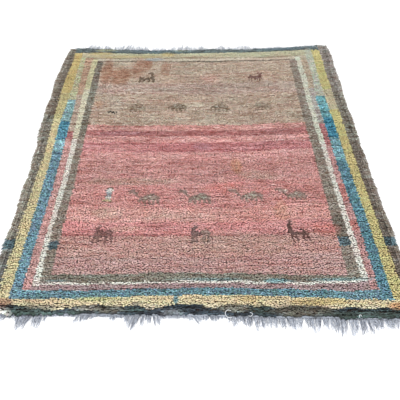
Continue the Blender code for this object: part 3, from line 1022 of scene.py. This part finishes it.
selvedge_material = cord_finish()
selvedges = [
    add_piece(name, overcast_cord(name, side), selvedge_material, "selvedge_wool", node)
    for name, side, node in (
        ("overcast_cord_left", -1, "selvedge_left"),
        ("overcast_cord_right", 1, "selvedge_right"),
    )
]


# ---- Fringes ----
# At each end a narrow band of plain weave holds the last row of knots, and beyond it the warps hang out as
# loose twisted wool ends. They are worn to uneven lengths, gathered in locks, splayed and frayed.

LOCKS_PER_END = 120
LOCK_WIDTH = 0.0046
LOCK_GATHER = 0.40
LOCK_CLEARANCE = 0.0012
# For each end: yarns in a lock, their least and greatest length in locks, how far they draw together and
# splay, their darkest grey, which partly stands in as painted shadow among the strands, and how the greys
# are shared out from left to right (a higher power is paler)
NEAR_YARNS = (16, (0.60, 1.50), 0.0056, 0.0048, (0.055, 0.075, 0.14), (0.8, 0.4))
FAR_YARNS = (9, (0.55, 1.32), 0.0030, 0.0085, (0.20, 0.24, 0.30), (0.7, 0.0))
PALE_YARN = (0.78, 0.84, 0.95)
SHORTEST_YARN = 0.004
NEAR_RIGHT_LEAN = 0.20
YARN_SEGMENTS = 5
YARN_RADIUS = 0.00050
YARN_TWIST = 5.0
CURL_RADIUS = 0.0006
CURL_LIFT = 0.0110
CURL_COLOUR = (0.75, 0.77, 0.80, 1.0)
WEB_COLUMNS = 240
WEB_ROWS = 8
CURLED_ENDS = (
    # x, radius, start, finish
    (0.068, 0.0105, 0.9, 5.4),
    (0.125, 0.0055, -2.6, 1.6),
    (0.421, 0.0035, 0.2, 3.9),
)
NEAR_FRINGE = (
    # across, length, lean
    (0, 0.026, -0.2), (0.062, 0.014, -0.2), (0.076, 0.046, -0.24), (0.13, 0.04, -0.2),
    (0.145, 0.006, -0.2), (0.2, 0.006, -0.3), (0.215, 0.024, -0.34), (0.243, 0.016, -0.3),
    (0.252, 0.006, 0), (0.282, 0.006, 0.1), (0.292, 0.024, 0.22), (0.31, 0.008, 0),
    (0.335, 0.038, -0.34), (0.362, 0.042, -0.24), (0.374, 0.014, 0), (0.384, 0.038, 0.1),
    (0.396, 0.038, 0.24), (0.404, 0.012, 0.26), (0.465, 0.012, 0.26), (0.48, 0.031, 0.3),
    (0.5, 0.012, 0.1), (0.53, 0.018, -0.1), (0.555, 0.007, 0), (0.575, 0.036, 0.12),
    (0.59, 0.024, 0.08), (0.62, 0.042, 0.04), (0.64, 0.03, -0.08), (0.682, 0.036, 0),
    (0.74, 0.034, 0.1), (0.762, 0.042, 0.12), (0.782, 0.036, 0.12), (0.808, 0.052, 0.15),
    (0.88, 0.052, 0.2), (0.9, 0.026, 0.2), (0.96, 0.03, 0.18), (1, 0.022, 0.1),
)
FAR_FRINGE = (
    # across, length, lean
    (0, 0.03, 0), (0.03, 0.036, 0.1), (0.06, 0.072, 0.12), (0.13, 0.078, -0.04),
    (0.155, 0.05, -0.1), (0.19, 0.08, 0.06), (0.28, 0.074, -0.06), (0.31, 0.048, 0),
    (0.385, 0.05, 0), (0.41, 0.084, 0.06), (0.44, 0.074, 0.02), (0.48, 0.066, -0.04),
    (0.52, 0.074, -0.1), (0.54, 0.034, 0), (0.56, 0.06, 0.06), (0.6, 0.074, -0.04),
    (0.63, 0.044, 0), (0.675, 0.076, 0.08), (0.695, 0.066, -0.06), (0.74, 0.036, 0),
    (0.79, 0.042, 0.06), (0.85, 0.028, 0), (0.93, 0.03, -0.06), (1, 0.022, 0),
)


def lock_paths(table, seed):
    """For each lock of one end: its length, and how far across the rug its tip lies from its root."""
    draw = random.Random(seed)
    pitch = 2 * RUG_HALF_WIDTH / LOCKS_PER_END
    narrowest = LOCK_WIDTH + LOCK_CLEARANCE - pitch
    paths = []
    while len(paths) < LOCKS_PER_END:
        count = min(draw.randint(2, 5), LOCKS_PER_END - len(paths))
        middle = len(paths) + (count - 1) / 2
        for index in range(len(paths), len(paths) + count):
            across = (index + 0.5) / LOCKS_PER_END
            length = float(interpolated(table, across, 1)) * draw.uniform(0.80, 1.05)
            lean = float(interpolated(table, across, 2)) + draw.uniform(-0.04, 0.04)
            tip = lean * length + (middle - index) * pitch * LOCK_GATHER * min(length / 0.04, 1.0)
            if paths:
                tip = max(tip, paths[-1][1] + narrowest)
            paths.append((length, tip))
    return paths


def web_x(u, end):
    """X in one end's web, for u from -1 at its left edge to 1 at its right one."""
    hem = end_at(u * RUG_HALF_WIDTH, end)
    left = side_at(hem, -1) + SELVEDGE_WIDTH + GAP
    right = side_at(hem, 1) - SELVEDGE_WIDTH - GAP
    return left + (right - left) * (u + 1) / 2


def yarns(end, table):
    """The loose warp ends of one end, each a thin twisted yarn lying on the floor."""
    draw = np.random.default_rng(53 + end)
    paths = np.array(lock_paths(table, 20 + end))
    each_lock, lengths, drawn_in, splayed, darkest_grey_and_painted_shadow, sharing = NEAR_YARNS if end < 0 else FAR_YARNS
    locks = np.repeat(np.arange(LOCKS_PER_END), each_lock)
    count = len(locks)
    share = (np.tile(np.arange(each_lock), LOCKS_PER_END) + 0.5) / each_lock
    length = np.maximum(paths[locks, 0] * draw.uniform(*lengths, count), SHORTEST_YARN)
    across = (locks + share) / LOCKS_PER_END
    tip = paths[locks, 1]
    if end < 0:
        tip = tip - NEAR_RIGHT_LEAN * length * np.clip(across * 8 - 5.6, 0, 1)
    root_x = web_x(across * 2 - 1, end)
    root_y = end_at(root_x, end) - end * 0.0012
    loose = np.minimum(length / 0.03, 1)
    gather = (0.5 - share) * drawn_in * loose
    splay = splayed * draw.normal(0, 1, count).clip(-2, 2) * loose
    curl = 0.0028 * draw.normal(0, 1, count)
    phase = draw.uniform(0, math.tau, count)
    lift = draw.uniform(0, 0.0028, count)
    radius = YARN_RADIUS * draw.uniform(0.7, 1.35, count)

    template = rolled_tube(YARN_SEGMENTS + 1, 3)
    template.verts.index_update()
    form = places_in(template)
    s = form[None, :, 2]

    def each(values):
        return values[:, None]

    taper = each(radius) * (1 - 0.55 * s**2)
    twist = YARN_TWIST * s + each(phase)
    ring_x = form[None, :, 0] * np.cos(twist) - form[None, :, 1] * np.sin(twist)
    ring_z = form[None, :, 0] * np.sin(twist) + form[None, :, 1] * np.cos(twist)
    wave = each(curl) * np.sin(each(phase) + YARN_TWIST * s) * s
    bump_up = each(lift) * np.sin(math.pi * np.minimum(s * 1.15, 1.0))
    fall = 0.0016 * (1 - s) ** 2
    x = each(root_x) + each(tip + gather + splay) * s**1.2 + wave + ring_x * taper
    y = each(root_y) + end * each(length) * s + 0.3 * wave
    z = np.maximum(each(radius) + fall + bump_up + ring_z * taper, 0.0)
    positions = np.stack([x, y - DRAWING_SHIFT, z], axis=-1)
    pale = np.array(PALE_YARN)
    # The yarns' greys: their own tone, and dark yarns as painted shadow among the strands
    mix = draw.uniform(0, 1, count) ** (sharing[0] + sharing[1] * across)
    painted_shade_and_tone = pale + mix[:, None] * (np.array(darkest_grey_and_painted_shadow) - pale)
    colour_and_painted_light = np.ones((count, len(form), 4))
    # Painted shade: each yarn is darker at its root, by the web and the pile, and lighter towards its tip
    colour_and_painted_light[..., :3] = painted_shade_and_tone[:, None, :] * (0.82 + 0.25 * form[None, :, 2:3])
    return template, positions, colour_and_painted_light


def curled_end(across, radius, start, finish):
    """One stray pale warp end that curls back over the hem."""
    bm = rolled_tube(15, 5)
    layer = bm.verts.layers.float_color.new("colour_and_painted_light")
    centre_y = float(end_at(np.array(across), -1)) - DRAWING_SHIFT
    for vert in bm.verts:
        angle = start + (finish - start) * vert.co.z
        lift = CURL_LIFT + 0.0025 * math.sin(math.pi * vert.co.z) + CURL_RADIUS * vert.co.y
        reach = radius + CURL_RADIUS * vert.co.x
        vert.co = (across + reach * math.cos(angle), centre_y + 1.3 * reach * math.sin(angle), lift)
        vert[layer] = CURL_COLOUR
    return mesh_of("curled_end", bm)


def web_sheet(end):
    """The closed band of plain weave, ribbed by its wefts."""
    bm = bmesh.new()
    bmesh.ops.create_grid(bm, x_segments=WEB_COLUMNS, y_segments=WEB_ROWS, size=1.0)
    flat = places_in(bm)
    x = web_x(flat[:, 0], end)
    y = end_at(x, end) - end * WEB_WIDTH * (1 - flat[:, 1] * end) / 2
    ribs = 0.0003 * np.cos(flat[:, 1] * math.pi * 4) + 0.0002 * np.sin(x * 1900)
    for vert, rib in zip(slab(bm, x, y), ribs):
        vert.co.z = WEB_THICKNESS - 0.0005 + rib
    bmesh.ops.recalc_face_normals(bm, faces=bm.faces)
    return bm


def fringe_finish():
    """Undyed pale wool, greyed by use, with dark yarns that partly stand in as painted shadow among the
    strands.
    """
    finish = Finish("warp_wool", 0.85, 0.25)
    colour_and_painted_light, _ = finish.attribute("colour_and_painted_light")
    fibres = finish.noise(1200.0, 2.0)
    finish.colour(finish.scaled(colour_and_painted_light, 0.8 + fibres * 0.4))
    finish.bump(fibres, 0.0004, 0.6)
    return finish.material


def fringe_mesh(name, end, table, web_colour):
    """The band and its yarns, joined in one mesh."""
    template, positions, colour_and_painted_light = yarns(end, table)
    loose = many_copies(name + "_yarns", template, positions, {"colour_and_painted_light": colour_and_painted_light})
    template.free()
    whole = web_sheet(end)
    layer = whole.verts.layers.float_color.new("colour_and_painted_light")
    for vert in whole.verts:
        vert[layer] = (*web_colour, 1.0)
    whole.from_mesh(loose)
    for curl in CURLED_ENDS if end < 0 else ():
        curled = curled_end(*curl)
        whole.from_mesh(curled)
        bpy.data.meshes.remove(curled)
    bpy.data.meshes.remove(loose)
    mesh = mesh_of(name, whole)
    give_cells(mesh)
    return mesh


fringe_material = fringe_finish()
fringes = [
    add_piece(name, fringe_mesh(name, end, table, colour), fringe_material, "warp_wool", name_of_node)
    for name, end, table, colour, name_of_node in (
        ("warp_fringe_near", -1, NEAR_FRINGE, (0.30, 0.33, 0.38), "fringe_near"),
        ("warp_fringe_far", 1, FAR_FRINGE, (0.07, 0.09, 0.11), "fringe_far"),
    )
]


# ---- Floor and light ----
# A plain near-white floor without any object on it, under an even studio light with one large soft lamp.

floor_form = bmesh.new()
bmesh.ops.create_grid(floor_form, x_segments=2, y_segments=2, size=12.0)
bmesh.ops.translate(floor_form, verts=floor_form.verts, vec=(0.0, 0.0, -0.0004))
floor_mesh = mesh_of("floor", floor_form)
floor_finish = Finish("floor", 0.9, 0.0)
floor_finish.colour((0.90, 0.90, 0.90, 1.0))
floor_mesh.materials.append(floor_finish.material)
floor = bpy.data.objects.new("floor", floor_mesh)
bpy.context.scene.collection.objects.link(floor)

world = bpy.data.worlds.new("studio")
world.use_nodes = True
background = world.node_tree.nodes["Background"]
background.inputs["Color"].default_value = (1.0, 1.0, 1.0, 1.0)
background.inputs["Strength"].default_value = 1.10
bpy.context.scene.world = world

lamp = bpy.data.objects.new("soft_lamp", bpy.data.lights.new("soft_lamp", "AREA"))
lamp.data.size = 3.0
lamp.data.energy = 130.0
lamp.location = (-1.0, -1.2, 3.6)
lamp.rotation_euler = (math.radians(22), math.radians(-17), 0.0)
bpy.context.scene.collection.objects.link(lamp)
bpy.context.scene.view_settings.view_transform = "Standard"
